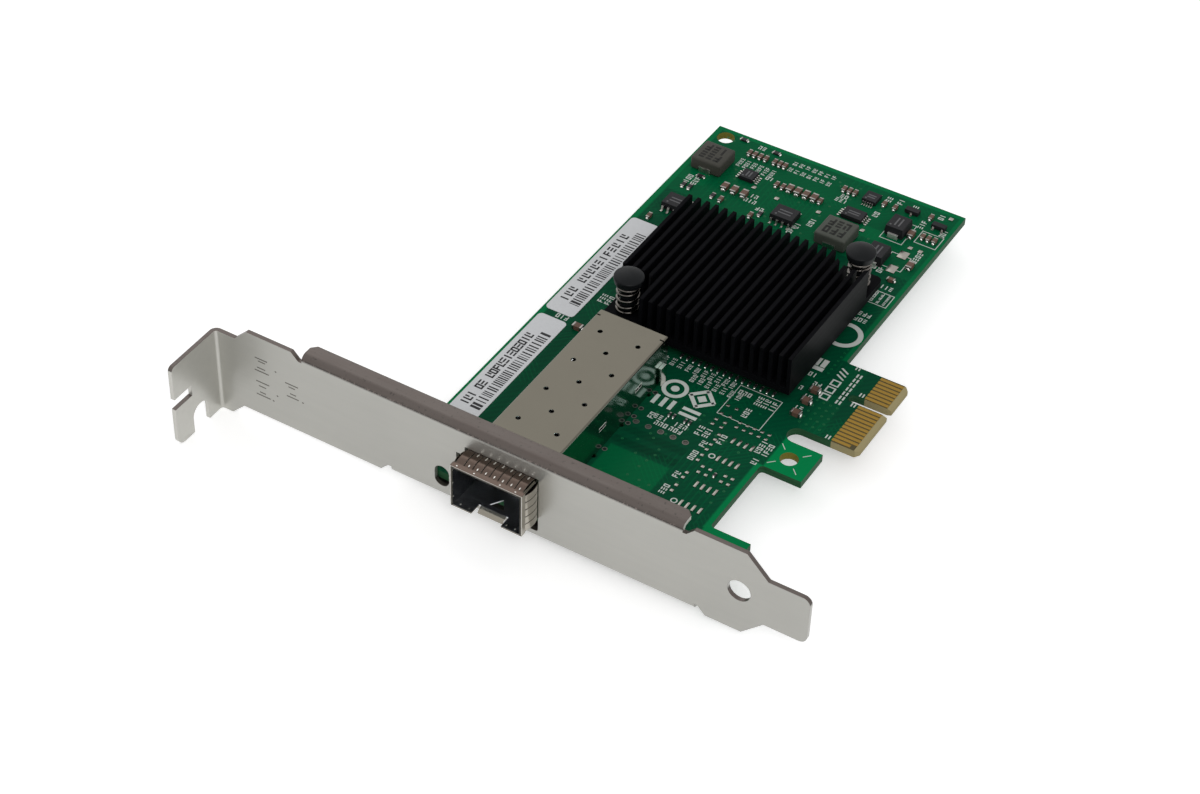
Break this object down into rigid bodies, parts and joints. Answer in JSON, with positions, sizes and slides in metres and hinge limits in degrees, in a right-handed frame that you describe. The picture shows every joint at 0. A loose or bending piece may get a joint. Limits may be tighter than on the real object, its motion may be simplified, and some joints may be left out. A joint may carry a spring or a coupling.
{
  "type": "network interface card",
  "caption": "Optical network card for a server expansion slot: green board, full-height steel bracket, module cage, finned heatsink on sprung pins.",
  "frame": {"origin": "centre of the key notch at the board's insertion edge, on the component face", "axes": "+X along the card away from the bracket, +Y from the insertion edge towards the board's top edge, +Z out of the component side"},
  "size_m": [0.1287, 0.1209, 0.0212],
  "materials": {
    "board_green": "solder mask over glass-epoxy, satin gloss",
    "contact_gold": "hard gold plate, satin",
    "bracket_steel": "zinc-plated steel, satin",
    "screw_steel": "nickel-plated steel",
    "cage_steel": "bright nickel-plated sheet",
    "collar_steel": "thin stainless spring sheet",
    "connector_plastic": "moulded black plastic",
    "connector_metal": "plated copper alloy",
    "heatsink_black": "black anodised aluminium, matt",
    "pad_grey": "soft thermal pad, matt",
    "substrate_green": "coated laminate",
    "moulded_black": "black moulding compound, fine grain",
    "lead_tin": "matt tin plate",
    "pin_plastic": "black nylon, satin",
    "spring_wire": "bright steel wire",
    "inductor_1_grey": "pressed metal powder, dark",
    "inductor_2_grey": "pressed metal powder, grey",
    "capacitor_brown": "fired ceramic",
    "resistor_black": "glazed black over ceramic",
    "end_tin": "tin over nickel, with solder",
    "pad_tin": "flat tinned copper",
    "label_paper": "coated label",
    "lamp_lens": "clear lamp body",
    "crystal_lid": "nickel-plated lid"
  },
  "bodies": {
    "root": {"circuit_board": "board_green", "edge_contacts_front": "contact_gold", "edge_contacts_back": "contact_gold", "bracket": "bracket_steel", "bracket_screws": "screw_steel", "module_cage": "cage_steel", "cage_floor": "cage_steel", "finger_collar": "collar_steel", "cage_connector": "connector_plastic", "connector_contacts": "connector_metal", "heatsink": "heatsink_black", "thermal_pad": "pad_grey", "controller_substrate": "substrate_green", "controller_cap": "moulded_black", "config_memory_body": "moulded_black", "flash_memory_body": "moulded_black", "regulator_a_body": "moulded_black", "regulator_b_body": "moulded_black", "power_switch_body": "moulded_black", "diode_1_body": "moulded_black", "diode_2_body": "moulded_black", "transistor_1_body": "moulded_black", "transistor_2_body": "moulded_black", "config_memory_leads": "lead_tin", "flash_memory_leads": "lead_tin", "regulator_a_leads": "lead_tin", "regulator_b_leads": "lead_tin", "power_switch_leads": "lead_tin", "diode_1_leads": "lead_tin", "diode_2_leads": "lead_tin", "transistor_1_leads": "lead_tin", "transistor_2_leads": "lead_tin", "inductor_1_terminals": "lead_tin", "inductor_2_terminals": "lead_tin", "push_pin_1": "pin_plastic", "push_pin_2": "pin_plastic", "push_pin_spring_1": "spring_wire", "push_pin_spring_2": "spring_wire", "inductor_1_body": "inductor_1_grey", "inductor_2_body": "inductor_2_grey", "large_capacitor_bodies": "capacitor_brown", "small_capacitor_bodies": "capacitor_brown", "resistor_bodies": "resistor_black", "large_capacitor_ends": "end_tin", "small_capacitor_ends": "end_tin", "resistor_ends": "end_tin", "bare_pads": "pad_tin", "paper_label_1": "label_paper", "paper_label_2": "label_paper", "link_lamps": "lamp_lens", "crystal": "crystal_lid"}
  },
  "joints": []
}
